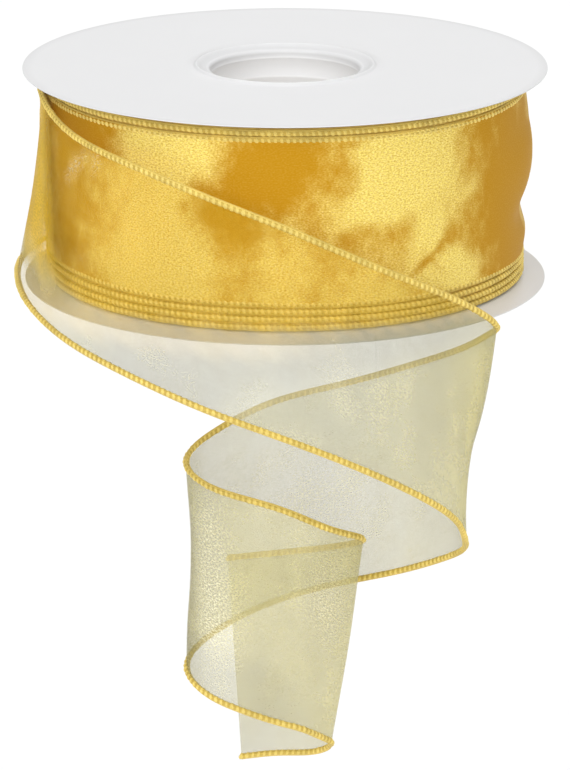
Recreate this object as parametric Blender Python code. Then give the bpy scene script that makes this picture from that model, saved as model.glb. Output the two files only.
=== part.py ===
"""Spool of sheer ribbon with wired edges, and the loose tail that curls below it.

The spool is two moulded flanges pressed into a paper core tube. The ribbon is taped to the core, wound
between the flanges, and leaves the roll at the back left. Its tail passes round the front, outside the
flanges, turns sharply at the bend on the right and curls down in a narrowing helix to the cut end.

Frame: origin at the centre of the bore in the lower flange's outer face, +Z up the bore, -Y to the front.
"""
import math

import bmesh
import bpy
import numpy as np

MM = 0.001

# ---- Driving dimensions, in metres -------------------------------------------------------------------
FLANGE_R = 0.050            # flange outer radius
FLANGE_T = 0.0012           # flange wall
RIM_ROUND = 0.0003          # rounding of the flange's rim
BORE_R = 0.014              # hole for the spindle
LIP_R = 0.0023              # rounding where a flange turns into its collar
COLLAR_WALL = 0.0016        # wall of the collar pressed into the core
COLLAR_LENGTH = 0.008       # collar, measured from the flange's outer face
CORE_WALL = 0.003           # wall of the paper core tube
RIBBON_W = 0.038            # ribbon width over both edge bindings
SIDE_PLAY = 0.0006          # ribbon's play between the flanges
RIM_MARGIN = 0.0042         # bare flange outside the full roll
CLEAR = 0.0003              # gap between touching pieces

BINDING_D = 0.00125         # thread-wrapped edge of the loose ribbon
BINDING_BORE_D = 0.00085    # hole in the binding for the wire
WIRE_D = 0.0003
WIRE_PROUD = 0.0005         # wire standing out of the cut end
WEB_T = 0.0005              # stands in for the sheer cloth
TURN_EDGE_D = 0.0011        # binding pressed flat in the roll
TURN_PITCH = 0.0014         # step from one visible turn's edge to the next
LOWER_TURNS = 4             # edges seen above the lower flange
UPPER_TURNS = 2             # edges seen under the upper flange
TURN_BELLY = 0.0004         # how far the outer turn swells at mid height

TAPE_ANGLE = math.radians(50)
TAPE_LENGTH = 0.024         # along the core
TAPE_T = 0.0002

BEND_GAP = 0.0008           # room between the tail's pieces and the curl's at the bend
RING_STEPS = 48             # facets round the roll
FLANGE_STEPS = 60
EDGE_SIDES = 6
TAIL_STATIONS = 28
CURL_STATIONS = 40
WEB_STRIPS = 3              # facets across the web

# ---- Sizes that follow ---------------------------------------------------------------------------------
GAP = RIBBON_W + SIDE_PLAY                      # between the flanges
SPOOL_H = GAP + 2 * FLANGE_T
COLLAR_R = BORE_R + COLLAR_WALL
CORE_IN_R = COLLAR_R + CLEAR
CORE_R = CORE_IN_R + CORE_WALL
TAPE_R = CORE_R + CLEAR
WOUND_IN_R = TAPE_R + TAPE_T + CLEAR
ROLL_R = FLANGE_R - RIM_MARGIN                  # largest radius of the wound ribbon
TURN_R = ROLL_R - TURN_BELLY                    # outer turn where it meets its edges
TURN_EDGE_R = TURN_R + CLEAR / 2 - TURN_EDGE_D / 2
WOUND_R = TURN_R - WEB_T - CLEAR
WOUND_NECK_R = TURN_EDGE_R - TURN_EDGE_D / 2 - CLEAR
EDGE_SPAN = RIBBON_W - BINDING_D                # between the centres of the two bindings
TOP_EDGE_Z = SPOOL_H - FLANGE_T - SIDE_PLAY / 2 - BINDING_D / 2

# ---- The tail's route ------------------------------------------------------------------------------------
# Each row is one upright line across the ribbon, top end then bottom end, in degrees and millimetres.
# Round the spool: bearing and distance outside the rim of the top end, how far it has dropped, then
# bearing and distance outside the rim of the bottom end, and the line's extra height over the flat ribbon.
ROUTE_SPAN = 36.75          # edge-to-edge width that the heights below were chosen for, mm
TAIL_ROUTE = [
    (115, -3.6, 0.0, 115, -3.6, 0.0),
    (127, -3.6, 0.0, 127, -0.7, 0.0),
    (139, -3.6, 0.0, 139, 1.3, 0.2),
    (152, -3.6, 0.0, 153, 1.4, 0.6),
    (167, -3.5, 0.0, 168, 1.4, 1.0),
    (187, -3.4, 0.0, 188, 1.2, 1.6),
    (200.5, -2.6, 1.9, 201, 1.7, 1.0),
    (217.5, -1.4, 4.7, 217.5, 1.8, 1.2),
    (237, 0.7, 7.0, 236.5, 2.3, 2.4),
    (255.5, 1.3, 11.6, 254.5, 2.9, 2.5),
    (270, 1.4, 16.4, 269.5, 2.5, 2.5),
    (288.5, 1.4, 24.3, 289.5, 0.9, 3.2),
    (305.8, 1.5, 31.9, 307.3, -1.2, 5.2),
    (314.2, 1.5, 36.2, 316, -4.2, 6.4),
    (321, 0.6, 40.4, 322.7, -7.1, 7.1),
]
# Past the bend: the same six values as places left or right of the bend's top end and in front of or
# behind it, so that the curl moves with the bend.
CURL_ROUTE = [
    (-1.0, 5.2, 43.2, -5.3, 10.2, 7.1),
    (-4.7, 13.7, 48.0, -9.1, 17.0, 6.5),
    (-15.6, 24.1, 55.0, -18.8, 24.6, 4.9),
    (-28.5, 29.1, 60.2, -30.4, 28.4, 3.5),
    (-41.4, 29.5, 63.8, -43.0, 28.3, 3.9),
    (-52.6, 26.8, 68.8, -53.9, 23.0, 3.4),
    (-58.2, 18.6, 72.3, -58.2, 14.1, 3.4),
    (-54.2, 10.9, 74.7, -54.2, 7.2, 3.9),
    (-46.9, 6.9, 76.2, -47.5, 4.2, 4.6),
    (-39.6, 5.6, 78.1, -41.1, 4.0, 4.9),
    (-33.5, 6.8, 81.1, -36.1, 5.8, 4.0),
    (-28.4, 10.1, 84.0, -32.8, 9.0, 3.7),
    (-24.4, 15.1, 87.0, -30.4, 13.1, 3.7),
    (-30.3, 19.8, 90.0, -33.4, 17.5, 4.0),
    (-39.5, 21.4, 91.6, -40.1, 19.9, 3.6),
    (-50.3, 21.6, 92.8, -47.8, 21.0, 3.6),
]

PLASTIC = ("white_plastic", (0.84, 0.84, 0.84, 1), 0.35, 0.0)
PAPER = ("core_paper", (0.62, 0.56, 0.46, 1), 0.9, 0.0)
TAPE = ("clear_tape", (0.80, 0.76, 0.62, 1), 0.25, 0.0)
WOUND = ("wound_gold_sheer", (0.58, 0.30, 0.02, 1), 0.45, 0.3)
SHEER = ("loose_gold_sheer", (0.70, 0.66, 0.50, 1), 0.4, 0.2)
THREAD = ("edge_thread", (0.72, 0.45, 0.06, 1), 0.6, 0.1)
WIRE = ("edge_wire", (0.60, 0.60, 0.60, 1), 0.3, 1.0)


def material(finish):
    name, colour, roughness, metallic = finish
    mat = bpy.data.materials.get(name) or bpy.data.materials.new(name)
    mat.use_nodes = True
    shader = mat.node_tree.nodes["Principled BSDF"]
    shader.inputs["Base Color"].default_value = colour
    shader.inputs["Roughness"].default_value = roughness
    shader.inputs["Metallic"].default_value = metallic
    return mat


def add_object(name, data, finish, parent=None):
    data.materials.append(material(finish))
    obj = bpy.data.objects.new(name, data)
    bpy.context.scene.collection.objects.link(obj)
    obj.parent = parent
    return obj


def add_mesh(name, bm, finish, parent=None):
    """Finish a bmesh as a named object whose faces point outwards."""
    bmesh.ops.recalc_face_normals(bm, faces=bm.faces)
    mesh = bpy.data.meshes.new(name)
    bm.to_mesh(mesh)
    bm.free()
    mesh.shade_smooth()
    mesh.set_sharp_from_angle(angle=math.radians(40))
    return add_object(name, mesh, finish, parent)


def turned(name, outline, steps, finish, angle=math.tau, start=0.0):
    """Turn a closed outline of (radius, height) points about +Z, all the way round or through an angle."""
    bm = bmesh.new()
    across, along = math.cos(start), math.sin(start)
    verts = [bm.verts.new((r * across, r * along, z)) for r, z in outline]
    whole = math.isclose(angle, math.tau)
    if whole:
        profile = verts + [bm.edges.new(pair) for pair in zip(verts, verts[1:] + verts[:1])]
    else:
        profile = [bm.faces.new(verts)]
    bmesh.ops.spin(bm, geom=profile, cent=(0, 0, 0), axis=(0, 0, 1), angle=angle, steps=steps, use_merge=whole)
    return add_mesh(name, bm, finish)


def arc(centre, radius, start, end, steps):
    """Points on an arc in the outline's plane; angles in degrees from the outward direction."""
    angles = np.radians(np.linspace(start, end, steps + 1))
    return [(centre[0] + radius * math.cos(a), centre[1] + radius * math.sin(a)) for a in angles]


def circle(centre, radius, sides):
    return arc(centre, radius, 0, 360, sides)[:-1]


def build_flange(name, face_z, inward):
    """A disc whose middle turns over a rounded lip into the collar; inward is +1 or -1 along Z."""
    def z(depth):
        return face_z + inward * depth

    lip = [(r, z(d)) for r, d in arc((BORE_R + LIP_R, LIP_R), LIP_R, 270, 180, 5)]
    collar = [(BORE_R, z(COLLAR_LENGTH)), (COLLAR_R, z(COLLAR_LENGTH)), (COLLAR_R, z(FLANGE_T))]
    rim_r = FLANGE_R - RIM_ROUND
    rim = [(rim_r, z(FLANGE_T)), (FLANGE_R, z(FLANGE_T - RIM_ROUND)), (FLANGE_R, z(RIM_ROUND)), (rim_r, z(0))]
    return turned(name, lip + collar + rim, FLANGE_STEPS, PLASTIC)


def build_spool():
    build_flange("lower_flange", 0.0, 1)
    build_flange("upper_flange", SPOOL_H, -1)
    low, high = FLANGE_T + CLEAR, SPOOL_H - FLANGE_T - CLEAR
    turned("core_tube", [(CORE_IN_R, low), (CORE_R, low), (CORE_R, high), (CORE_IN_R, high)], RING_STEPS, PAPER)
    tape_low = SPOOL_H / 2 - TAPE_LENGTH / 2
    tape_high = tape_low + TAPE_LENGTH
    tape_out_r = TAPE_R + TAPE_T
    patch = [(TAPE_R, tape_low), (tape_out_r, tape_low), (tape_out_r, tape_high), (TAPE_R, tape_high)]
    turned("starting_tape", patch, 10, TAPE, angle=TAPE_ANGLE)


def build_roll():
    """The wound ribbon: its body, the outer turn, and the turns' edges stepping up from the flanges."""
    low, high = FLANGE_T + CLEAR, SPOOL_H - FLANGE_T - CLEAR
    first_edge = low + TURN_EDGE_D / 2
    last_edge = high - TURN_EDGE_D / 2
    for i in range(LOWER_TURNS):
        section = circle((TURN_EDGE_R, first_edge + i * TURN_PITCH), TURN_EDGE_D / 2, EDGE_SIDES)
        turned(f"lower_edge_turn_{i + 1}", section, RING_STEPS, THREAD)
    for i in range(UPPER_TURNS):
        section = circle((TURN_EDGE_R, last_edge - i * TURN_PITCH), TURN_EDGE_D / 2, EDGE_SIDES)
        turned(f"upper_edge_turn_{i + 1}", section, RING_STEPS, THREAD)
    web_low = first_edge + (LOWER_TURNS - 1) * TURN_PITCH + TURN_EDGE_D / 2 + CLEAR
    web_high = last_edge - (UPPER_TURNS - 1) * TURN_PITCH - TURN_EDGE_D / 2 - CLEAR

    step = WOUND_R - WOUND_NECK_R
    body = [(WOUND_IN_R, low), (WOUND_NECK_R, low), (WOUND_NECK_R, web_low), (WOUND_R, web_low + step)]
    body += [(WOUND_R, web_high - step), (WOUND_NECK_R, web_high), (WOUND_NECK_R, high), (WOUND_IN_R, high)]
    turned("wound_ribbon", body, RING_STEPS, WOUND)

    heights = np.linspace(web_low, web_high, 5)
    swell = [TURN_BELLY * math.sin(math.pi * i / 4) for i in range(5)]
    outside = [(TURN_R + s, z) for s, z in zip(swell, heights)]
    inside = [(r - WEB_T, z) for r, z in reversed(outside)]
    turned("outer_turn", outside + inside, RING_STEPS, WOUND)


def polar(bearing, radius):
    angle = math.radians(bearing)
    return radius * math.cos(angle), radius * math.sin(angle)


def route_lines():
    """The upright lines across the ribbon as (top point, bottom point), and the bend's place among them."""
    scale = EDGE_SPAN / (ROUTE_SPAN * MM)

    def line(top_xy, drop, bottom_xy, extra):
        top_z = TOP_EDGE_Z - drop * MM * scale
        bottom_z = top_z - EDGE_SPAN - extra * MM * scale
        return np.array([*top_xy, top_z]), np.array([*bottom_xy, bottom_z])

    lines = []
    for top_bearing, top_out, drop, bottom_bearing, bottom_out, extra in TAIL_ROUTE:
        top = polar(top_bearing, FLANGE_R + top_out * MM)
        bottom = polar(bottom_bearing, FLANGE_R + bottom_out * MM)
        lines.append(line(top, drop, bottom, extra))
    bend_x, bend_y, _ = lines[-1][0]
    for top_x, top_y, drop, bottom_x, bottom_y, extra in CURL_ROUTE:
        top = bend_x + top_x * MM, bend_y + top_y * MM
        bottom = bend_x + bottom_x * MM, bend_y + bottom_y * MM
        lines.append(line(top, drop, bottom, extra))
    return lines, len(TAIL_ROUTE) - 1


def unit(vector):
    return vector / np.linalg.norm(vector)


def smooth_curve(knots, values):
    """A natural cubic spline through values at knots, returned as a function of the knots' parameter."""
    h = np.diff(knots)
    slope = np.diff(values, axis=0) / h[:, None]
    system = np.eye(len(knots))
    load = np.zeros_like(values)
    for i in range(1, len(knots) - 1):
        system[i, i - 1:i + 2] = h[i - 1], 2 * (h[i - 1] + h[i]), h[i]
        load[i] = 6 * (slope[i] - slope[i - 1])
    bend = np.linalg.solve(system, load)

    def at(t):
        i = int(np.clip(np.searchsorted(knots, t) - 1, 0, len(h) - 1))
        a, b = (knots[i + 1] - t) / h[i], (t - knots[i]) / h[i]
        curve = (a ** 3 - a) * bend[i] + (b ** 3 - b) * bend[i + 1]
        return a * values[i] + b * values[i + 1] + curve * h[i] ** 2 / 6

    return at


class Ribbon:
    """The loose ribbon's two edges as smooth curves that share one parameter, in metres along the ribbon."""

    def __init__(self):
        lines, bend = route_lines()
        ends = np.array([np.concatenate(pair) for pair in lines])
        middle = (ends[:, :3] + ends[:, 3:]) / 2
        self.knots = np.concatenate([[0], np.cumsum(np.linalg.norm(np.diff(middle, axis=0), axis=1))])
        self.curve = smooth_curve(self.knots, ends)
        self.bend = self.knots[bend]
        self.length = self.knots[-1]
        self.bend_top, self.bend_bottom = lines[bend]

    def station(self, t):
        """The two edges' points at t, their unit directions along the ribbon, and the unit direction through it."""
        step = 1e-4
        change = self.curve(min(t + step, self.length)) - self.curve(max(t - step, 0))
        points = np.split(self.curve(t), 2)
        along = [unit(direction) for direction in np.split(change, 2)]
        through = unit(np.cross(along[0] + along[1], points[0] - points[1]))
        return points, along, through


def skin(name, loops, finish, parent, cyclic=False):
    """Skin a row of equal point loops into one closed body, with capped ends or joined end to end."""
    bm = bmesh.new()
    rows = [[bm.verts.new(p) for p in loop] for loop in loops]
    count = len(rows[0])
    pairs = list(zip(rows, rows[1:] + rows[:1] if cyclic else rows[1:]))
    for one, two in pairs:
        for i in range(count):
            bm.faces.new((one[i], one[(i + 1) % count], two[(i + 1) % count], two[i]))
    if not cyclic:
        for row in (rows[0], rows[-1]):
            for i in range(count // 2 - 1):
                bm.faces.new((row[i], row[i + 1], row[count - 2 - i], row[count - 1 - i]))
    return add_mesh(name, bm, finish, parent)


def build_web(name, ribbon, stations, pivot, parent):
    """The sheer cloth between the two bindings, as one thin closed sheet."""
    margin = BINDING_D / 2 + CLEAR
    loops = []
    for t in stations:
        (top, bottom), along, through = ribbon.station(t)
        down = unit(bottom - top)
        first, last = (margin / np.linalg.norm(np.cross(edge, down)) for edge in along)
        first, last = top + down * first, bottom - down * last
        line = [first + (last - first) * i / WEB_STRIPS for i in range(WEB_STRIPS + 1)]
        front = [p + through * WEB_T / 2 - pivot for p in line]
        back = [p - through * WEB_T / 2 - pivot for p in reversed(line)]
        loops.append(front + back)
    skin(name, loops, SHEER, parent)


def build_binding(name, ribbon, stations, which, pivot, parent):
    """The thread wrapped round one edge: a tube with the wire's hole through it."""
    outer, inner = [], []
    for t in stations:
        points, along, through = ribbon.station(t)
        across = unit(np.cross(through, along[which]))
        for rows, diameter in ((outer, BINDING_D), (inner, BINDING_BORE_D)):
            ring = [through * y + across * x for x, y in circle((0, 0), diameter / 2, EDGE_SIDES)]
            rows.append([points[which] + offset - pivot for offset in ring])
    skin(name, outer + inner[::-1], THREAD, parent, cyclic=True)


def build_wire(name, points, pivot, parent):
    """The soft wire inside one binding, as a bevelled curve with filled ends."""
    curve = bpy.data.curves.new(name, "CURVE")
    curve.dimensions = "3D"
    curve.bevel_depth = WIRE_D / 2
    curve.bevel_resolution = 0
    curve.use_fill_caps = True
    spline = curve.splines.new("POLY")
    spline.points.add(len(points) - 1)
    for point, place in zip(spline.points, points):
        point.co = (*(place - pivot), 1)
    add_object(name, curve, WIRE, parent)


def build_length(name, ribbon, stations, pivot, parent, cut_end):
    """One rigid length of the loose ribbon: web, two bindings and two wires."""
    build_web(f"{name}_web", ribbon, stations, pivot, parent)
    for which, side in ((0, "upper"), (1, "lower")):
        build_binding(f"{name}_{side}_binding", ribbon, stations, which, pivot, parent)
        points = [ribbon.station(t)[0][which] for t in stations]
        if cut_end:
            points.append(points[-1] + unit(points[-1] - points[-2]) * WIRE_PROUD)
        build_wire(f"{name}_{side}_wire", points, pivot, parent)


def add_pivot(name, place, parent=None):
    empty = bpy.data.objects.new(name, None)
    bpy.context.scene.collection.objects.link(empty)
    empty.parent = parent
    empty.location = place
    return empty


def build_loose_ribbon():
    ribbon = Ribbon()
    payout = add_pivot("payout_axis", (0, 0, 0))
    bend = add_pivot("bend_axis", ribbon.bend_top, payout)
    half_gap = BEND_GAP / 2
    tail = np.linspace(0, ribbon.bend - half_gap, TAIL_STATIONS)
    curl = np.linspace(ribbon.bend + half_gap, ribbon.length, CURL_STATIONS)
    build_length("tail", ribbon, tail, np.zeros(3), payout, cut_end=False)
    build_length("curl", ribbon, curl, ribbon.bend_top, bend, cut_end=True)


def main():
    for obj in list(bpy.data.objects):
        bpy.data.objects.remove(obj, do_unlink=True)
    build_spool()
    build_roll()
    build_loose_ribbon()


if __name__ == "__main__":
    main()
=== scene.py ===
"""Spool of sheer gold ribbon with wired edges, and the loose tail that curls below it.

Laid out as a Blender add-on: one operator builds each piece or group of like pieces round the packed frame.
Lengths are in metres, bearings in degrees anticlockwise from +X seen from above, and -Y is the front.
"""
import math

import bmesh
import bpy
import numpy as np
from bpy.props import FloatProperty, FloatVectorProperty, IntProperty, PointerProperty
from bpy.types import Operator, Panel, PropertyGroup
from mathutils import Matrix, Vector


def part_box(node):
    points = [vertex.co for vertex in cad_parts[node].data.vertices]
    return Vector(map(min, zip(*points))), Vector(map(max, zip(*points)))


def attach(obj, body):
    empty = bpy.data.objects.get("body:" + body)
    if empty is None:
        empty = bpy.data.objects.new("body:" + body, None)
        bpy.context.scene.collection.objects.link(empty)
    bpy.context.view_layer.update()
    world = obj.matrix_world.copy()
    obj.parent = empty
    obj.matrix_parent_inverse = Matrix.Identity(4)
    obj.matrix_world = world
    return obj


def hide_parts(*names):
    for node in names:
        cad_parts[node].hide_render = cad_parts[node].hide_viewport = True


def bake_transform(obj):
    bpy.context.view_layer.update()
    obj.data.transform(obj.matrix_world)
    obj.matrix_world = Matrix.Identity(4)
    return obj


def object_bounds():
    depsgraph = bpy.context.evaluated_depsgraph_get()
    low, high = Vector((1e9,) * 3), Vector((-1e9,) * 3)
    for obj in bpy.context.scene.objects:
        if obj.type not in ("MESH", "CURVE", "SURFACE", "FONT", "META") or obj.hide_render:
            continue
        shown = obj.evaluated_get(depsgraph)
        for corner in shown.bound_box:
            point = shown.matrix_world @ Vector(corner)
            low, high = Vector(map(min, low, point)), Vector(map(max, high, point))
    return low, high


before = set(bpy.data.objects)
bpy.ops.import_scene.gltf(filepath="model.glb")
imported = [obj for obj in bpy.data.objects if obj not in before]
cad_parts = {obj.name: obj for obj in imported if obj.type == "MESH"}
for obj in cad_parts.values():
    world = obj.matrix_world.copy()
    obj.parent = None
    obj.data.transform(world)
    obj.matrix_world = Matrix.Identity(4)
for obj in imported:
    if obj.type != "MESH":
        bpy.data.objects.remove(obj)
CAD_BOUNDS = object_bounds()

bl_info = {
    "name": "Ribbon Spool",
    "version": (1, 0, 0),
    "blender": (4, 5, 0),
    "location": "View3D > Sidebar > Ribbon",
    "description": "Builds a spool of wired sheer ribbon with a loose curling tail",
    "category": "Add Mesh",
}

MM = 0.001

# ---- The stage
FLOOR_DROP = 0.2            # from the lowest point of the CAD down to the floor
FLOOR_HALF = 6.0
SKY_STRENGTH = 0.44
CAMERA_PLACE = (0, -0.9742, 0.2668)
CAMERA_TILT = 16.524        # degrees below level
CAMERA_LENS = 246.67        # mm, with a sensor 36 mm wide
# name, bearing and height that it shines from in degrees, strength, spread in degrees
LIGHTS = (
    ("key_light", 250, 22, 1.42, 60),
    ("fill_light", 310, 12, 0.66, 80),
    ("back_light", 80, 40, 0.60, 70),
    ("top_light", 250, 75, 0.95, 60),
)


def middle_height(node):
    low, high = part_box(node)
    return (low.z + high.z) / 2


# ---- Places taken from the frame, and sizes that it doesn't hold
SPOOL_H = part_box("upper_flange")[1].z
FLANGE_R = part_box("upper_flange")[1].x
FLANGE_T = 0.0012
RIM_SHORT = 0.35 * MM       # how far the flange's rim stops short of the CAD's
CORE_LOW, CORE_HIGH = (corner.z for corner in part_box("core_tube"))
CORE_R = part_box("core_tube")[1].x
CORE_WALL = 0.003
TURN_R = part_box("lower_edge_turn_1")[1].x
LOWER_ROWS = [middle_height(f"lower_edge_turn_{i}") for i in (1, 2, 3, 4)]
UPPER_ROWS = [middle_height(f"upper_edge_turn_{i}") for i in (1, 2)]
ROW_SWAY = 0.35 * MM        # how far the wound edges ride above and below their rings
UPPER_ROWS_LIFT = 0.35 * MM

# ---- The loose ribbon's route, as in the part's source
# Each row is one upright line across the ribbon, top end then bottom end, in degrees and millimetres.
# Round the spool: bearing and distance outside the rim of the top end, how far it has dropped, then
# bearing and distance outside the rim of the bottom end, and the line's extra height over the flat ribbon.
EDGE_SPAN = 0.03675         # between the centres of the two bindings
TOP_EDGE_Z = 0.038875
TAIL_ROUTE = [
    (115, -3.6, 0.0, 115, -3.6, 0.0),
    (127, -3.6, 0.0, 127, -0.7, 0.0),
    (139, -3.6, 0.0, 139, 1.3, 0.2),
    (152, -3.6, 0.0, 153, 1.4, 0.6),
    (167, -3.5, 0.0, 168, 1.4, 1.0),
    (187, -3.4, 0.0, 188, 1.2, 1.6),
    (200.5, -2.6, 1.9, 201, 1.7, 1.0),
    (217.5, -1.4, 4.7, 217.5, 1.8, 1.2),
    (237, 0.7, 7.0, 236.5, 2.3, 2.4),
    (255.5, 1.3, 11.6, 254.5, 2.9, 2.5),
    (270, 1.4, 16.4, 269.5, 2.5, 2.5),
    (288.5, 1.4, 24.3, 289.5, 0.9, 3.2),
    (305.8, 1.5, 31.9, 307.3, -1.2, 5.2),
    (314.2, 1.5, 36.2, 316, -4.2, 6.4),
    (321, 0.6, 40.4, 322.7, -7.1, 7.1),
]
BEND_ROW = len(TAIL_ROUTE) - 1
SPLIT_ROW = 11              # the tail's front length ends here, and the length with the bend begins
# Past the bend: the same six values as places left or right of the bend's top end and in front of or
# behind it, so that the curl moves with the bend.
CURL_ROUTE = [
    (-1.0, 5.2, 43.2, -5.3, 10.2, 7.1),
    (-4.7, 13.7, 48.0, -9.1, 17.0, 6.5),
    (-15.6, 24.1, 55.0, -18.8, 24.6, 4.9),
    (-28.5, 29.1, 60.2, -30.4, 28.4, 3.5),
    (-41.4, 29.5, 63.8, -43.0, 28.3, 3.9),
    (-52.6, 26.8, 68.8, -53.9, 23.0, 3.4),
    (-58.2, 18.6, 72.3, -58.2, 14.1, 3.4),
    (-54.2, 10.9, 74.7, -54.2, 7.2, 3.9),
    (-46.9, 6.9, 76.2, -47.5, 4.2, 4.6),
    (-39.6, 5.6, 78.1, -41.1, 4.0, 4.9),
    (-33.5, 6.8, 81.1, -36.1, 5.8, 4.0),
    (-28.4, 10.1, 84.0, -32.8, 9.0, 3.7),
    (-24.4, 15.1, 87.0, -30.4, 13.1, 3.7),
    (-30.3, 19.8, 90.0, -33.4, 17.5, 4.0),
    (-39.5, 21.4, 91.6, -40.1, 19.9, 3.6),
    (-50.3, 21.6, 92.8, -47.8, 21.0, 3.6),
]

# ---- Where the satin gleams on the roll, and where it falls into shade
# bearing, height mm, half-width in degrees, half-height mm, lean in degrees per mm of height, strength
ROLL_GLEAMS = [
    (243, 36, 12, 8, 0.2, 0.62),
    (237, 15, 10, 9.5, 0.0, 0.66),
    (241, 25, 6.5, 6, 0.4, 0.40),
    (238, 4, 10, 5, 0.0, 0.50),
    (223, 10, 7, 4.5, 0.0, 0.26),
    (229, 26, 5, 5, 0.0, 0.16),
    (268, 11, 9, 6, 0.0, 0.32),
    (287, 8, 11, 5, 0.0, 0.34),
    (299, 34, 15, 7, 0.1, 0.58),
    (301, 26, 16, 4.5, 0.0, 0.44),
    (289, 24, 11, 3.6, 1.3, 0.46),
    (305, 18, 4.5, 4.5, 0.5, 0.48),
    (314, 9.5, 11, 4.4, -0.5, 0.66),
    (265, 31, 13, 11, 0.8, -0.44),
    (281, 26, 7, 5, 0.0, -0.10),
    (284, 18, 7, 4, 0.0, 0.14),
    (293, 8, 6, 8, 0.0, 0.20),
    (239, 17, 6, 6, 0.0, 0.16),
    (346, 26, 8, 7, 0.0, -0.25),
    (288, 18.2, 10, 2.2, 0.0, -0.12),
    (250, 14, 10, 7, 0.0, 0.34),
    (192, 20, 12, 20, 0.0, 0.34),
    (304.5, 12.5, 1.8, 3.0, 1.6, -0.42),
    (308.5, 11, 1.8, 2.4, -1.2, -0.30),
    (336, 21, 16, 26, 0.0, -0.42),
    (211, 36, 18, 5, 0.0, -0.40),
    (205, 19, 12, 16, 0.0, -0.22),
    (257, 20, 5, 5, 0.0, -0.12),
]
# bearing, height mm, half-width in degrees, half-height mm, lift mm
ROLL_FOLDS = [
    (184, 27, 26, 15, 0.85),
    (357, 25, 16, 6.5, 1.35),
    (357, 14.5, 13, 3.0, -0.90),
    (357, 38, 14, 5.0, 0.60),
    (357, 7.5, 13, 3.5, 0.45),
    (32, 22, 18, 9, 0.6),
    (63, 15, 12, 6, -0.5),
    (88, 27, 16, 8, 0.5),
]
# place along the ribbon mm, place across it (0 top, 1 bottom), half-length mm, half-height, lean, lift mm
WEB_FOLDS = [
    (57, 0.42, 20, 0.42, 0, -1.2),
    (79.5, 0.24, 1.4, 0.16, -22, 0.5),
    (88.5, 0.13, 1.8, 0.12, -34, 0.45),
    (95, 0.08, 1.5, 0.07, -12, 0.35),
    (192, 0.38, 4.0, 0.26, -8, -0.60),
    (192, 0.70, 7.0, 0.24, 0, -1.75),
    (201, 0.45, 2.5, 0.30, -14, -0.40),
    (270, 0.45, 5.0, 0.28, 0, -0.80),
]
# the same places and sizes, for drifts of sparkle painted as pale glints: how thick each one is
WEB_GLITTER_GLINTS = [
    (88.5, 0.13, 1.9, 0.12, -34, 1.4),
    (95, 0.07, 1.5, 0.06, -12, 0.9),
    (92, 0.55, 3.0, 0.05, 0, 0.5),
    (112, 0.86, 9, 0.10, 0, 0.5),
    (152, 0.62, 9, 0.20, 30, 0.3),
    (205, 0.45, 8, 0.30, 0, 0.4),
    (236, 0.55, 12, 0.20, 0, 0.6),
    (279, 0.42, 4.0, 0.42, 0, 1.1),
    (283, 0.70, 5, 0.30, 0, 0.6),
    (304, 0.35, 5, 0.22, 0, 0.8),
    (326, 0.45, 8, 0.30, 0, 0.5),
]

# along the ribbon mm; there, how bright the loose cloth is painted (painted light and shade), how far it
# shows its gold rather than its pale colour with the light behind it (painted light too), and how it covers
WEB_TONES = np.array([
    (0, 1.16, 1.0, 0.34), (66, 1.14, 0.7, 0.35), (100, 1.08, 0.0, 0.36), (122, 0.96, 0.0, 0.36),
    (150, 0.91, 0.1, 0.36), (172, 0.90, 0.4, 0.36), (184, 0.88, 0.9, 0.38), (192, 0.86, 1.0, 0.42),
    (205, 1.20, 0.7, 0.35), (235, 1.33, 0.0, 0.34), (262, 1.26, 0.4, 0.35), (270, 0.98, 1.0, 0.40),
    (279, 1.28, 0.4, 0.34), (300, 1.52, 0.4, 0.32), (311, 1.50, 0.6, 0.38), (320, 1.40, 0.8, 0.34),
    (338, 1.30, 0.7, 0.34),
]).T


def length(name, default, description):
    """A length that can be set, in metres."""
    return FloatProperty(name=name, description=description, default=default, unit="LENGTH", precision=5)


def tint(name, default, description):
    """A colour that can be set."""
    return FloatVectorProperty(name=name, description=description, default=default, subtype="COLOR",
                               min=0, max=1)


class SpoolSizes(PropertyGroup):
    """Sizes of the moulded spool."""
    bore_radius: length("Bore Radius", 0.014, "Hole for the spindle")
    lip_radius: length("Lip Radius", 0.0023, "Rounding from the flange into its collar")
    collar_wall: length("Collar Wall", 0.0016, "Wall of the collar pressed into the core")
    collar_length: length("Collar Length", 0.0094, "Collar from the flange's outer face")
    rim_rounding: length("Rim Rounding", 0.0003, "Rounding of the collar's end")
    rim_thickness: length("Rim Thickness", 0.00022, "Flange wall at its rim, outside the roll")
    facets: IntProperty(name="Facets", description="Facets round the spool", default=192, min=24)


class ClothSizes(PropertyGroup):
    """Sizes of the sheer cloth."""
    thickness: length("Thickness", 0.00012, "Thickness of the sheer cloth")
    sway: length("Sway", 0.0004, "How far the loose cloth waves between its edges")
    station: length("Station", 0.0008, "Step along the loose cloth")
    strips: IntProperty(name="Strips", description="Strips across the cloth", default=18, min=4)
    thread_pitch: length("Thread Pitch", 0.00032, "From one woven thread to the next")


class StitchSizes(PropertyGroup):
    """Sizes of the thread wrapped round each wired edge."""
    pitch: length("Pitch", 0.00115, "From one stitch to the next")
    wrap_radius: length("Wrap Radius", 0.00027, "Radius of a stitch round the edge")
    thread_radius: length("Thread Radius", 0.00040, "Radius of the bundle of thread")
    core_radius: length("Core Radius", 0.00052, "Radius of the rolled hem under the stitches")
    lock_radius: length("Lock Radius", 0.00023, "Radius of the thread that locks the stitches")
    slant: FloatProperty(name="Slant", description="Lean of a stitch along the edge",
                         default=math.radians(42), unit="ROTATION")
    seed: IntProperty(name="Seed", description="Fixes the small differences between stitches", default=7)


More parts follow.
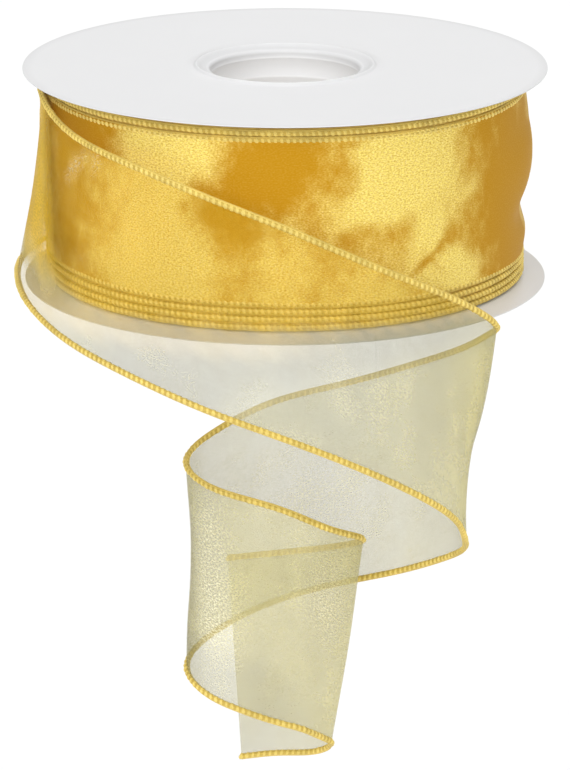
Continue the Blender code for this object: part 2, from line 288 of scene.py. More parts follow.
class RibbonColours(PropertyGroup):
    """Colours of the finishes."""
    flange: tint("Flange", (0.75, 0.75, 0.755), "Moulded plastic")
    gleam: tint("Gleam", (0.94, 0.765, 0.19), "Satin where it catches the light")
    shade: tint("Shade", (0.52, 0.255, 0.004), "Satin where it falls into shade")
    sheer: tint("Sheer", (0.51, 0.455, 0.16), "A loose layer where it shows its gold")
    sheer_pale: tint("Pale Sheer", (0.41, 0.395, 0.27), "A loose layer with the light behind it")
    sheer_over_roll: tint("Sheer Over Roll", (0.80, 0.52, 0.03), "A loose layer in front of the roll")
    thread: tint("Thread", (0.82, 0.63, 0.16), "Edge stitching")
    hem: tint("Hem", (0.60, 0.42, 0.07), "Rolled hem between the stitches")
    paper: tint("Paper", (0.55, 0.46, 0.33), "Core tube")
    floor: tint("Floor", (0.95, 0.95, 0.95), "Pale floor")


# ---- Node graphs
class Value:
    """A number that varies over a surface: arithmetic on it adds Math nodes."""

    def __init__(self, graph, socket):
        self.graph = graph
        self.socket = socket

    def maths(self, operation, *others):
        values = dict(enumerate((self, *others)))
        return self.graph.node("ShaderNodeMath", {"operation": operation}, values)

    def __add__(self, other):
        return self.maths("ADD", other)

    __radd__ = __add__

    def __sub__(self, other):
        return self.maths("SUBTRACT", other)

    def __rsub__(self, other):
        return self.maths("MULTIPLY_ADD", -1.0, other)

    def __mul__(self, other):
        return self.maths("MULTIPLY", other)

    __rmul__ = __mul__

    def sine(self):
        return self.maths("SINE")

    def ramp(self, low, high):
        """0 below low, 1 above high, and a smooth rise between them."""
        settings = {"interpolation_type": "SMOOTHSTEP"}
        values = {"Value": self, "From Min": low, "From Max": high}
        return self.graph.node("ShaderNodeMapRange", settings, values)


class Graph:
    """Adds nodes to a shader or geometry tree."""

    def __init__(self, tree):
        self.tree = tree

    def node(self, kind, settings=None, values=None, output=0):
        """Add a node: its settings first, then the values or links of its sockets; gives one output."""
        node = self.tree.nodes.new(kind)
        for key, setting in (settings or {}).items():
            setattr(node, key, setting)
        for key, value in (values or {}).items():
            self.feed(node.inputs[key], value)
        return Value(self, node.outputs[output]) if node.outputs else node

    def feed(self, socket, value):
        if isinstance(value, (list, tuple)) and value and isinstance(value[0], Value):
            for item in value:
                self.feed(socket, item)
        elif isinstance(value, Value):
            self.tree.links.new(value.socket, socket)
        else:
            socket.default_value = value

    def blend(self, factor, one, two, kind="MIX"):
        """Mix two colours; each is a link or three numbers."""
        one, two = (c if isinstance(c, Value) else (*c, 1.0) for c in (one, two))
        settings = {"data_type": "RGBA", "blend_type": kind}
        return self.node("ShaderNodeMix", settings, {0: factor, 6: one, 7: two}, 2)

    def brighten(self, colour, amount):
        """Scale a colour by a number that varies."""
        return self.node("ShaderNodeVectorMath", {"operation": "SCALE"}, {0: colour, "Scale": amount})

    def place(self, kind="Object"):
        """Where a point is, in metres: on the body, or along and across the cloth from its UV map."""
        return self.node("ShaderNodeTexCoord", None, None, kind)

    def noise(self, place, scale, detail=2.0, rough=0.5):
        return self.node("ShaderNodeTexNoise", None,
                         {"Vector": place, "Scale": scale, "Detail": detail, "Roughness": rough})

    def stretch(self, place, scale):
        return self.node("ShaderNodeMapping", None, {"Vector": place, "Scale": scale})

    def bump(self, height, strength, distance):
        values = {"Height": height, "Strength": strength, "Distance": distance}
        return self.node("ShaderNodeBump", None, values)

    def attribute(self, name):
        return self.node("ShaderNodeAttribute", {"attribute_name": name}, None, "Fac")


def finish(name, paint, **constants):
    """Make a material: paint fills the Principled sockets that vary, and constants sets the rest."""
    existing = bpy.data.materials.get(name)
    if existing:
        return existing
    material = bpy.data.materials.new(name)
    material.use_nodes = True
    tree = material.node_tree
    shader = tree.nodes["Principled BSDF"]
    graph = Graph(tree)
    for key, value in {**constants, **paint(graph)}.items():
        graph.feed(shader.inputs[key.replace("_", " ")], value)
    return material


def colours():
    return bpy.context.scene.ribbon_colours


def weave(graph, pitch):
    """Height of a plain weave that follows the cloth's own UV map, in metres along and across."""
    place = graph.place("UV")
    along = graph.node("ShaderNodeSeparateXYZ", None, {0: place}, 0)
    across = graph.node("ShaderNodeSeparateXYZ", None, {0: place}, 1)
    turns = math.tau / (2 * pitch)
    return (along * turns).sine() * (across * turns).sine(), place


def flange_finish():
    def paint(graph):
        place = graph.place()
        cloud = graph.noise(place, 45.0, 3.0)
        peel = graph.noise(place, 1500.0, 2.0)
        # tone carries painted light and shade: darker on the dish and lip round the hole and at the rim,
        # lighter down the inside of the collar
        colour = graph.brighten(tuple(colours().flange), (cloud * 0.05 + 0.975) * graph.attribute("tone"))
        return {
            "Base Color": colour,
            "Roughness": cloud * 0.12 + 0.32,
            # painted glow: where tone is over 1, inside the collar, the plastic gives off a faint light of
            # its own
            "Emission Color": graph.brighten((0.7, 0.7, 0.7), (graph.attribute("tone") - 1).ramp(0.0, 1.0)),
            "Normal": graph.bump(peel, 0.12, 0.05 * MM),
        }
    return finish("moulded_white_plastic", paint, Specular_IOR_Level=0.45, Emission_Strength=1.0)


def paper_finish():
    def paint(graph):
        place = graph.place()
        fibre = graph.noise(graph.stretch(place, (1.0, 1.0, 0.25)), 1800.0, 4.0, 0.7)
        blotch = graph.noise(place, 160.0, 3.0)
        dark = tuple(0.62 * c for c in colours().paper)
        colour = graph.blend(fibre.ramp(0.30, 0.72), dark, tuple(colours().paper))
        return {
            "Base Color": graph.brighten(colour, blotch * 0.3 + 0.85),
            "Roughness": fibre * 0.2 + 0.75,
            "Normal": graph.bump(fibre, 0.5, 0.08 * MM),
        }
    return finish("wound_kraft_paper", paint)


def tape_finish():
    def paint(graph):
        place = graph.place()
        smear = graph.noise(place, 300.0, 3.0)
        return {
            "Base Color": graph.blend(smear, (0.80, 0.76, 0.62), (0.70, 0.62, 0.44)),
            "Roughness": smear * 0.2 + 0.15,
            "Alpha": smear * 0.2 + 0.5,
        }
    return finish("clear_tape", paint)


def satin_finish():
    """Gold satin of the outer turn: deep in the shade, pale and speckled where it gleams."""
    def paint(graph):
        threads, place = weave(graph, bpy.context.scene.ribbon_cloth.thread_pitch)
        body = graph.place()
        cloud = graph.noise(graph.stretch(body, (1.0, 1.0, 0.8)), 260.0, 4.0, 0.6)
        speckle = graph.noise(graph.stretch(place, (0.6, 1.0, 1.0)), 3900.0, 1.0, 0.5)
        glint = graph.noise(graph.stretch(place, (0.5, 1.0, 1.0)), 4600.0, 1.0)
        billow = graph.noise(place, 95.0, 3.0, 0.6)
        # painted sheen: the listed gleams, broken into patches by the cloud and billow noises
        gleam = graph.attribute("gleam") + (cloud - 0.5) * 0.9 + (billow - 0.5) * 0.95
        gleam = gleam.ramp(0.08, 0.90)
        grain = gleam * 1.7 + 0.3
        tone = gleam * 0.72 + 0.03 + (speckle - 0.5) * grain
        base = graph.blend(tone, tuple(colours().shade), tuple(colours().gleam))
        flecks = glint.ramp(0.54, 0.66) * gleam * 0.45
        base = graph.blend(flecks, base, (1.0, 0.88, 0.44))
        return {
            "Base Color": base,
            "Roughness": 0.60 - gleam * 0.14,
            "Metallic": gleam * 0.10 + 0.30,
            "Normal": graph.bump(threads * 0.5 + speckle * 1.2, 0.22, 0.08 * MM),
        }
    return finish("wound_gold_sheer", paint, Specular_IOR_Level=0.12)


def inner_satin_finish():
    """Turns under the outer one, seen past its edges."""
    def paint(graph):
        place = graph.place()
        turns = graph.noise(graph.stretch(place, (1.0, 1.0, 6.0)), 500.0, 3.0)
        # painted shade: the turns take the shaded satin's colour, darker still, for the shade between the
        # wound rows
        colour = graph.blend(turns, tuple(0.8 * c for c in colours().shade), tuple(colours().thread))
        return {
            "Base Color": colour,
            "Roughness": turns * 0.2 + 0.5,
            "Normal": graph.bump(turns, 0.3, 0.1 * MM),
        }
    return finish("inner_turns_sheer", paint)


def sheer_finish():
    """One loose layer of sheer: mostly see-through, with a fine grid of threads and scattered sparkle
    painted as pale glints.
    """
    def paint(graph):
        threads, place = weave(graph, bpy.context.scene.ribbon_cloth.thread_pitch)
        cloud = graph.noise(place, 120.0, 4.0, 0.6)
        speckle = graph.noise(graph.stretch(place, (0.4, 1.0, 1.0)), 3600.0, 1.0, 0.5)
        glint = graph.noise(graph.stretch(place, (0.5, 1.0, 1.0)), 4000.0, 1.0)
        warm = graph.attribute("over_roll")
        gleam = (graph.attribute("gleam") + (cloud - 0.5) * 0.7).ramp(0.1, 0.9)
        # painted light and shade: the gold mark mixes the cloth's pale colour, with the light behind it,
        # towards its gold, and the bright mark and the sheen scale it
        base = graph.blend(graph.attribute("gold"), tuple(colours().sheer_pale), tuple(colours().sheer))
        base = graph.blend(warm, base, tuple(colours().sheer_over_roll))
        lively = gleam * 0.30 + 0.85 + (speckle - 0.5) * (warm * 0.7 + 0.25)
        base = graph.brighten(base, lively * graph.attribute("bright"))
        drift = graph.attribute("glitter_glints") + (cloud - 0.5) * 0.8
        # painted glints: pale flecks where the glint noise peaks, thickest in the listed drifts
        flecks = glint.ramp(0.42, 0.70) * (gleam * 0.15 + drift).maths("MAXIMUM", 0.0)
        base = graph.blend(flecks * 0.8, base, (0.98, 0.92, 0.66))
        body = graph.attribute("body")
        alpha = body + (cloud - 0.5) * 0.16 + (speckle - 0.5) * 0.05 + flecks * 0.20
        return {
            "Base Color": base,
            "Roughness": 0.55 - gleam * 0.12,
            "Alpha": alpha.maths("MAXIMUM", 0.04),
            "Normal": graph.bump(threads * 0.5 + speckle, 0.2, 0.06 * MM),
        }
    return finish("loose_gold_sheer", paint, Specular_IOR_Level=0.15)


def thread_finish():
    def paint(graph):
        place = graph.place()
        fibre = graph.noise(place, 5200.0, 2.0, 0.6)
        tone = graph.noise(place, 210.0, 2.0)
        wrap = graph.attribute("wrap")
        colour = graph.blend(wrap, tuple(colours().hem), tuple(colours().thread))
        return {
            "Base Color": graph.brighten(colour, tone * 0.5 + 0.72 + (fibre - 0.5) * 0.35),
            "Roughness": fibre * 0.2 + 0.38,
            "Normal": graph.bump(fibre, 0.5, 0.06 * MM),
        }
    return finish("gold_edge_thread", paint, Metallic=0.1)


def wire_finish():
    def paint(graph):
        place = graph.place()
        drawn = graph.noise(graph.stretch(place, (1.0, 1.0, 0.3)), 4000.0, 2.0)
        return {
            "Base Color": graph.blend(drawn, (0.42, 0.41, 0.40), (0.66, 0.65, 0.62)),
            "Roughness": drawn * 0.2 + 0.25,
        }
    return finish("drawn_steel_wire", paint, Metallic=1.0)


# ---- Meshes
def skin(name, loops, material, cyclic=False, marks=None, uv=None):
    """Skin a row of equal point loops into one closed body, with capped ends or joined end to end.

    marks gives a number for every point under each name, and uv the places of the loops and their points.
    """
    loops = np.asarray(loops, float)
    rows, count = loops.shape[:2]
    faces = []
    corners = []
    for i in range(rows if cyclic else rows - 1):
        below = (i + 1) % rows
        for j in range(count):
            k = (j + 1) % count
            faces.append((i * count + j, i * count + k, below * count + k, below * count + j))
            corners.append(((i, j), (i, j + 1), (i + 1, j + 1), (i + 1, j)))
    if not cyclic:
        for i in (0, rows - 1):
            for j in range(count // 2 - 1):
                strip = (j, j + 1, count - 2 - j, count - 1 - j)
                faces.append(tuple(i * count + p for p in strip))
                corners.append(tuple((i, p) for p in strip))
    mesh = bpy.data.meshes.new(name)
    mesh.from_pydata(loops.reshape(-1, 3).tolist(), [], faces)
    for mark, values in (marks or {}).items():
        layer = mesh.attributes.new(mark, "FLOAT", "POINT")
        layer.data.foreach_set("value", np.asarray(values, np.float32).ravel())
    if uv:
        along, across = uv
        layer = mesh.uv_layers.new(name="cloth")
        places = [(along[i], across[j]) for face in corners for i, j in face]
        layer.data.foreach_set("uv", np.asarray(places, np.float32).ravel())
    return dressed(name, mesh, material)


def dressed(name, mesh, material):
    """Point a mesh's faces outwards, smooth it, give it its finish and show it."""
    bm = bmesh.new()
    bm.from_mesh(mesh)
    bmesh.ops.recalc_face_normals(bm, faces=bm.faces)
    bm.to_mesh(mesh)
    bm.free()
    mesh.shade_smooth()
    mesh.set_sharp_from_angle(angle=math.radians(42))
    mesh.materials.append(material)
    obj = bpy.data.objects.new(name, mesh)
    bpy.context.scene.collection.objects.link(obj)
    return obj


def turned(name, outline, steps, material, tone=None):
    """Turn a closed outline of (radius, height) points all the way round +Z, with a tone for each point,
    which is painted light and shade for the finish.
    """
    bearings = np.linspace(0, math.tau, steps, endpoint=False)
    radius, height = np.asarray(outline, float).T
    loops = [np.stack([radius * math.cos(b), radius * math.sin(b), height], 1) for b in bearings]
    marks = {"tone": [tone] * steps} if tone is not None else None
    return skin(name, loops, material, cyclic=True, marks=marks)


def arc(centre, radius, start, end, steps):
    """Points on an arc in the outline's plane; angles in degrees from the outward direction."""
    angles = np.radians(np.linspace(start, end, steps + 1))
    return [(centre[0] + radius * math.cos(a), centre[1] + radius * math.sin(a)) for a in angles]


def settle(obj, body, slot_name, *nodes):
    """Put a finished piece on its CAD body and hide the CAD nodes that it stands for; slot_name is not
    used.
    """
    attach(obj, body)
    if nodes:
        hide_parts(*nodes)
    return obj


def bend_with_curl(obj, slot_name, *nodes):
    """Bake a piece's placing into its mesh and hide the CAD nodes that it stands for."""
    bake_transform(obj)
    if nodes:
        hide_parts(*nodes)
    return obj


# ---- The loose ribbon's shape
def unit(vector):
    return vector / np.linalg.norm(vector)


def polar(bearing, radius):
    angle = math.radians(bearing)
    return radius * math.cos(angle), radius * math.sin(angle)


def route_lines():
    """The upright lines across the ribbon, each as a top point and a bottom point."""
    def line(top_xy, drop, bottom_xy, extra):
        top_z = TOP_EDGE_Z - drop * MM
        return np.array([*top_xy, top_z]), np.array([*bottom_xy, top_z - EDGE_SPAN - extra * MM])

    lines = []
    for top_bearing, top_out, drop, bottom_bearing, bottom_out, extra in TAIL_ROUTE:
        top = polar(top_bearing, FLANGE_R + top_out * MM)
        bottom = polar(bottom_bearing, FLANGE_R + bottom_out * MM)
        lines.append(line(top, drop, bottom, extra))
    bend_x, bend_y, _ = lines[-1][0]
    for top_x, top_y, drop, bottom_x, bottom_y, extra in CURL_ROUTE:
        top = bend_x + top_x * MM, bend_y + top_y * MM
        bottom = bend_x + bottom_x * MM, bend_y + bottom_y * MM
        lines.append(line(top, drop, bottom, extra))
    return lines


def smooth_curve(knots, values):
    """A natural cubic spline through values at knots, returned as a function of the knots' parameter."""
    h = np.diff(knots)
    slope = np.diff(values, axis=0) / h[:, None]
    system = np.eye(len(knots))
    load = np.zeros_like(values)
    for i in range(1, len(knots) - 1):
        system[i, i - 1:i + 2] = h[i - 1], 2 * (h[i - 1] + h[i]), h[i]
        load[i] = 6 * (slope[i] - slope[i - 1])
    bend = np.linalg.solve(system, load)

    def at(t):
        i = int(np.clip(np.searchsorted(knots, t) - 1, 0, len(h) - 1))
        a, b = (knots[i + 1] - t) / h[i], (t - knots[i]) / h[i]
        curve = (a ** 3 - a) * bend[i] + (b ** 3 - b) * bend[i + 1]
        return a * values[i] + b * values[i + 1] + curve * h[i] ** 2 / 6

    return at


class LooseRibbon:
    """The loose ribbon's two edges as smooth curves of one parameter, in metres along the middle line."""

    def __init__(self):
        ends = np.array([np.concatenate(pair) for pair in route_lines()])
        middle = (ends[:, :3] + ends[:, 3:]) / 2
        self.knots = np.concatenate([[0], np.cumsum(np.linalg.norm(np.diff(middle, axis=0), axis=1))])
        self.curve = smooth_curve(self.knots, ends)
        self.length = self.knots[-1]
        self.split = self.knots[SPLIT_ROW]

    def station(self, t):
        """The two edges' points at t, and the unit direction through the cloth."""
        step = 1e-4
        change = self.curve(min(t + step, self.length)) - self.curve(max(t - step, 0))
        top, bottom = np.split(self.curve(t), 2)
        along = unit(change[:3]) + unit(change[3:])
        return top, bottom, unit(np.cross(along, top - bottom))

    def stations(self, start, end, step):
        return np.linspace(start, end, max(2, math.ceil((end - start) / step)) + 1)


def share(value):
    """A number held between 0 and 1."""
    return np.clip(value, 0, 1)


def hill(distance):
    """1 at the middle, falling smoothly to almost nothing at a distance of 1.6."""
    return np.exp(-np.abs(distance) ** 2.6)


def drifts(table, t, s):
    """The sum of a table's rows at t along the loose cloth and s across it."""
    total = 0 * s
    for place, across, half_length, half_height, lean, strength in table:
        along = (t / MM - place - lean * (s - across)) / half_length
        total = total + strength * hill(np.hypot(along, (s - across) / half_height))
    return total


def fold_lift(t, s):
    """How far a fold lifts the loose cloth, in metres; the wires hold it flat along the edges."""
    return drifts(WEB_FOLDS, t, s) * MM * share(8 * s) * share(8 * (1 - s))


def cloth_sway(t, s):
    """Slow waves between the two wired edges, which hold the cloth straight."""
    slow = 0.55 * np.sin(math.tau * t / 0.031 + 1.4 * s)
    quick = 0.28 * np.sin(math.tau * t / 0.0137 + 3.1 * s + 1.0)
    fine = 0.16 * np.sin(math.tau * t / 0.0072 - 4.0 * s + 0.4)
    return np.sin(math.pi * s) * (slow + quick + fine)


def loose_marks(ribbon, t, s, z, lift):
    """What the loose cloth's finish reads at t along it, for places s across it at heights z in mm."""
    at = t / MM
    bright, yellow, density = (np.interp(at, *WEB_TONES[[0, i]]) for i in (1, 2, 3))
    shine = 0.45 + 0.16 * np.sin(math.tau * t / 0.047 + 2.0 * s + 0.6) + lift / MM * 0.5
    # in front of the roll, where it is golden; on the first length this begins higher up
    foot = z - 6.5 * share((94 - at) / 20)
    over = share((foot - 2.4) / 2.2) * (t < ribbon.knots[BEND_ROW])
    # the lower part of the length before the bend, with cloth behind it, painted brighter as painted light
    backed_painted_light = share((s - 0.70 + (at - 136) * 0.0135) / 0.12) * (1 - over)
    backed_painted_light = backed_painted_light * share((at - 120) / 12) * share((192 - at) / 10)
    # the first length, drawn tight over the roll and denser
    tight = share((71 + 13 * s - at) / 8 + 0.5) * share((at - 28) / 10)
    tight = tight * share((foot + 1.5) / 4)
    # the strip in front of the lower flange, and the one in front of the wound edges
    low = share((z + 2.6) / 2) * (1 - over) * share((150 - at) / 20)
    over = np.maximum(np.maximum(over, 0.75 * tight), 0.34 * low)
    density = density * (1 - 0.62 * over) + 0.62 * tight
    rows = over * share((9 - z) / 4)
    # the lower part of the curl's last turns, painted darker than the rest as painted shade
    bare_painted_shade = share((s - 0.70) / 0.12) * share((at - 262) / 8)
    bare_painted_shade = bare_painted_shade * (share((302 - at) / 8) + share((at - 314) / 6))
    backed_painted_light = backed_painted_light * (0.30 + 0.28 * share((at - 135) / 25))
    # painted light where there is cloth behind, and painted shade on the lower part of the curl's last
    # turns
    bright = bright + backed_painted_light + 0.04 * low + 0.16 * rows - 0.36 * bare_painted_shade
    return {"gleam": shine, "gold": yellow + 0 * s, "body": density, "over_roll": over, "bright": bright,
            "glitter_glints": drifts(WEB_GLITTER_GLINTS, t, s)}


def web_piece(name, ribbon, start, end):
    """One length of the sheer cloth, as a thin closed sheet between the two edges."""
    cloth = bpy.context.scene.ribbon_cloth
    s = np.linspace(0, 1, cloth.strips + 1)
    stations = ribbon.stations(start, end, cloth.station)
    loops = []
    marks = {}
    for t in stations:
        top, bottom, through = ribbon.station(t)
        lift = cloth.sway * cloth_sway(t, s) + fold_lift(t, s)
        line = top + (bottom - top) * s[:, None] + through * lift[:, None]
        half = through * cloth.thickness / 2
        loops.append(np.concatenate([line + half, (line - half)[::-1]]))
        for mark, value in loose_marks(ribbon, t, s, line[:, 2] / MM, lift).items():
            marks.setdefault(mark, []).append(np.concatenate([value, value[::-1]]))
    across = np.concatenate([s, s[::-1], s[:1]]) * EDGE_SPAN
    return skin(name, loops, sheer_finish(), marks=marks, uv=(stations, across))


def roll_gleam(bearing, height):
    """How brightly the outer turn gleams at a bearing in degrees and a height in mm."""
    gleam = np.full(np.broadcast(bearing, height).shape, 0.40)
    spots = list(ROLL_GLEAMS)
    random = np.random.default_rng(11)
    for middle in range(348, 348 + 200, 16):
        strength = random.uniform(0.25, 0.6) * random.choice([1, 1, -1])
        spots.append((middle % 360 + random.uniform(-5, 5), random.uniform(8, 36), random.uniform(7, 15),
                      random.uniform(4, 13), random.uniform(-0.8, 0.8), strength))
    for middle, level, half_width, half_height, lean, strength in spots:
        turn = (bearing - middle - lean * (height - level) + 180) % 360 - 180
        gleam = gleam + strength * hill(np.hypot(turn / half_width, (height - level) / half_height))
    return gleam


def roll_lift(bearing, height):
    """How far the outer turn stands off its mean radius, in metres."""
    lift = 0.22 * (roll_gleam(bearing, height) - 0.45)
    for middle, level, half_width, half_height, rise in ROLL_FOLDS:
        turn = (bearing - middle + 180) % 360 - 180
        lift = lift + rise * hill(np.hypot(turn / half_width, (height - level) / half_height))
    return lift * MM


def row_sway(bearing):
    """How far the wound edges ride up towards the left and down towards the right, in metres."""
    return ROW_SWAY * np.cos(np.radians(bearing - 205))


# ---- Stitching
def stitching_tree(material):
    """Stitches wrapped at an even pitch round a line of edge points, over a rolled hem."""
    tree = bpy.data.node_groups.get("edge_stitching")
    if tree:
        return tree
    tree = bpy.data.node_groups.new("edge_stitching", "GeometryNodeTree")
    face = tree.interface
    face.new_socket(name="Edge Line", in_out="INPUT", socket_type="NodeSocketGeometry")
    for label in ("Pitch", "Wrap Radius", "Thread Radius", "Core Radius", "Lock Radius", "Outer Side",
                  "Slant"):
        face.new_socket(name=label, in_out="INPUT", socket_type="NodeSocketFloat")
    face.new_socket(name="Seed", in_out="INPUT", socket_type="NodeSocketInt")
    face.new_socket(name="Stitching", in_out="OUTPUT", socket_type="NodeSocketGeometry")
    graph = Graph(tree)
    sizes = tree.nodes.new("NodeGroupInput").outputs

    def size(label):
        return Value(graph, sizes[label])

    def marked(geometry, wrap):
        """How much the finish shows thread, rather than hem, on a piece of geometry."""
        return graph.node("GeometryNodeStoreNamedAttribute", {"data_type": "FLOAT", "domain": "POINT"},
                          {"Geometry": geometry, "Name": "wrap", "Value": wrap})

    line = graph.node("GeometryNodeMeshToCurve", None, {"Mesh": size("Edge Line")})
    spaced = graph.node("GeometryNodeResampleCurve", {"mode": "LENGTH"},
                        {"Curve": line, "Length": size("Pitch")})
    wrap = graph.node("GeometryNodeCurvePrimitiveCircle", None,
                      {"Resolution": 10, "Radius": size("Wrap Radius")})
    thread = graph.node("GeometryNodeCurvePrimitiveCircle", None,
                        {"Resolution": 6, "Radius": size("Thread Radius")})
    stitch = graph.node("GeometryNodeCurveToMesh", None, {"Curve": wrap, "Profile Curve": thread})
    lean = graph.node("ShaderNodeCombineXYZ", None, {"X": size("Slant")})
    turn = graph.node("FunctionNodeEulerToRotation", None, {0: lean})
    stitch = graph.node("GeometryNodeTransform", None, {"Geometry": stitch, "Rotation": turn})
    stitch = marked(stitch, 1.0)
    tangent = graph.node("GeometryNodeInputTangent")
    through = graph.node("GeometryNodeInputNamedAttribute", {"data_type": "FLOAT_VECTOR"},
                         {"Name": "through"})
    facing = graph.node("FunctionNodeAxesToRotation", {"primary_axis": "Z", "secondary_axis": "X"},
                        {"Primary Axis": tangent, "Secondary Axis": through})
    swell = graph.node("FunctionNodeRandomValue", {"data_type": "FLOAT"},
                       {2: 0.92, 3: 1.08, "Seed": size("Seed")}, 1)
    stitches = graph.node("GeometryNodeInstanceOnPoints", None,
                          {"Points": spaced, "Instance": stitch, "Rotation": facing, "Scale": swell})
    down = graph.node("ShaderNodeVectorMath", {"operation": "CROSS_PRODUCT"}, {0: tangent, 1: through})

    def strand(reach, radius, tone):
        """A thread that runs along the edge, a little way to its outer side."""
        aside = graph.node("ShaderNodeVectorMath", {"operation": "SCALE"},
                           {0: down, "Scale": size("Outer Side") * reach})
        beside = graph.node("GeometryNodeSetPosition", None, {"Geometry": spaced, "Offset": aside})
        ring = graph.node("GeometryNodeCurvePrimitiveCircle", None, {"Resolution": 7, "Radius": radius})
        tube = graph.node("GeometryNodeCurveToMesh", None,
                          {"Curve": beside, "Profile Curve": ring, "Fill Caps": True})
        return marked(tube, tone)

    reach = size("Core Radius") * 0.75
    hem = strand(0.0, size("Core Radius"), 0.0)
    lock = strand(reach, size("Lock Radius"), 1.0)
    # painted shadow: a thin strand mostly in the hem's darker colour, just outside the lock thread, for the
    # shadow the edge casts on the cloth behind it
    outline = strand(reach + size("Lock Radius") * 0.6, size("Lock Radius") * 0.75, 0.3)
    joined = graph.node("GeometryNodeJoinGeometry", None, {"Geometry": [hem, lock, outline, stitches]})
    smooth = graph.node("GeometryNodeSetShadeSmooth", None, {0: joined, "Shade Smooth": True})
    real = graph.node("GeometryNodeRealizeInstances", None, {"Geometry": smooth})
    done = graph.node("GeometryNodeSetMaterial", None, {"Geometry": real, "Material": material})
    tree.links.new(done.socket, tree.nodes.new("NodeGroupOutput").inputs["Stitching"])
    return tree


def stitched(name, lines, throughs, outer_side, cyclic=False):
    """Sew along lines of points, with the direction through the cloth at each.

    outer_side is 1 for a lower edge and -1 for an upper one.
    """
    mesh = bpy.data.meshes.new(name + "_line")
    edges = []
    base = 0
    for line in lines:
        last = len(line) - 1
        edges += [(base + i, base + i + 1) for i in range(last)]
        if cyclic:
            edges.append((base + last, base))
        base += len(line)
    mesh.from_pydata(np.concatenate(lines).tolist(), edges, [])
    layer = mesh.attributes.new("through", "FLOAT_VECTOR", "POINT")
    layer.data.foreach_set("vector", np.concatenate(throughs).astype(np.float32).ravel())
    source = bpy.data.objects.new(name + "_line", mesh)
    bpy.context.scene.collection.objects.link(source)
    material = thread_finish()
    tree = stitching_tree(material)
    modifier = source.modifiers.new("stitching", "NODES")
    modifier.node_group = tree
    stitch = bpy.context.scene.ribbon_stitching
    wanted = {"Pitch": stitch.pitch, "Wrap Radius": stitch.wrap_radius,
              "Thread Radius": stitch.thread_radius, "Core Radius": stitch.core_radius,
              "Lock Radius": stitch.lock_radius, "Slant": stitch.slant,
              "Outer Side": outer_side, "Seed": stitch.seed}
    for item in tree.interface.items_tree:
        if item.name in wanted:
            modifier[item.identifier] = wanted[item.name]
    graph = bpy.context.evaluated_depsgraph_get()
    made = bpy.data.meshes.new_from_object(source.evaluated_get(graph), preserve_all_data_layers=True,
                                           depsgraph=graph)
    if not made.polygons:
        raise RuntimeError(f"{name}: the stitching came out empty")
    made.name = name
    made.materials.clear()
    source.modifiers.clear()
    bpy.data.objects.remove(source)
    return dressed(name, made, material)


# ---- Operators
class RIBBONSPOOL_OT_stage(Operator):
    """Set the pale floor, the soft studio light and the camera"""
    bl_idname = "ribbonspool.stage"
    bl_label = "Stage"

    def execute(self, context):
        scene = context.scene
        floor_z = CAD_BOUNDS[0][2] - FLOOR_DROP
        mesh = bpy.data.meshes.new("floor")
        half = FLOOR_HALF
        corners = [(x, y, floor_z) for x, y in ((-half, -half), (half, -half), (half, half), (-half, half))]
        mesh.from_pydata(corners, [], [(0, 1, 2, 3)])
        mesh.materials.append(finish("pale_floor", lambda graph: {"Base Color": (*colours().floor, 1.0)},
                                     Roughness=0.9, Specular_IOR_Level=0.1))
        floor = bpy.data.objects.new("floor", mesh)
        scene.collection.objects.link(floor)

        for name, bearing, height, strength, spread in LIGHTS:
            light = bpy.data.lights.new(name, "SUN")
            light.energy = strength
            light.angle = math.radians(spread)
            lamp = bpy.data.objects.new(name, light)
            lamp.rotation_euler = (math.radians(90 - height), 0, math.radians(bearing + 90))
            scene.collection.objects.link(lamp)

        world = bpy.data.worlds.new("studio")
        world.use_nodes = True
        sky = world.node_tree.nodes["Background"]
        sky.inputs["Color"].default_value = (1.0, 1.0, 1.0, 1.0)
        sky.inputs["Strength"].default_value = SKY_STRENGTH
        scene.world = world
        scene.view_settings.view_transform = "Standard"
        scene.cycles.transparent_max_bounces = 32

        lens = bpy.data.cameras.new("camera")
        lens.lens = CAMERA_LENS
        lens.sensor_width = 36
        lens.clip_end = 50
        camera = bpy.data.objects.new("camera", lens)
        camera.location = CAMERA_PLACE
        camera.rotation_euler = (math.radians(90 - CAMERA_TILT), 0, 0)
        scene.collection.objects.link(camera)
        scene.camera = camera
        return {"FINISHED"}


